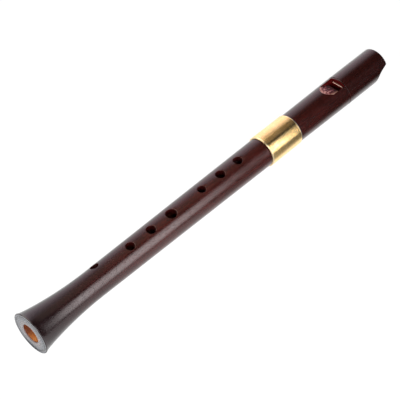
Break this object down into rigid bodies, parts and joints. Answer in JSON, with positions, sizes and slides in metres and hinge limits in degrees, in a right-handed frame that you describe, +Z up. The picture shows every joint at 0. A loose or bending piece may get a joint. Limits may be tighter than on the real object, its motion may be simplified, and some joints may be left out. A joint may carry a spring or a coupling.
{
  "type": "renaissance soprano recorder",
  "caption": "Soprano recorder of renaissance form: flared one-piece body with finger holes, brass sleeve joint, and a head with block, window and cut beak.",
  "frame": {"origin": "middle of the instrument's length, under the bore's axis, at the height of the bell rim's lowest point as it lies with the bore level", "axes": "+X along the bore from the foot to the beak, +Z up on the side of the finger holes and the window, +Y towards the player's right hand side"},
  "size_m": [0.33, 0.0302, 0.0303],
  "materials": {
    "stained_wood": "dark red-brown stained hardwood, oiled, satin",
    "cedar": "bare cedar, matte",
    "brass": "turned and finely brushed brass",
    "cork": "natural cork, greased, matte"
  },
  "bodies": {
    "body": {"body_joint": "stained_wood", "body_lapping": "cork"},
    "sleeve": {"sleeve": "brass"},
    "head": {"head_joint": "stained_wood", "head_lapping": "cork"},
    "block": {"block": "cedar"}
  },
  "joints": [
    {"name": "sleeve_slide", "type": "slide", "parent": "body", "child": "sleeve", "axis": [1, 0, 0], "range_m": [0, 0.022]},
    {"name": "head_turn", "type": "hinge", "parent": "sleeve", "child": "head", "pos_m": [0.085, 0, 0.01513], "axis": [1, 0, 0], "continuous": true},
    {"name": "block_slide", "type": "slide", "parent": "head", "child": "block", "axis": [1, 0, 0], "range_m": [0, 0.046]}
  ]
}
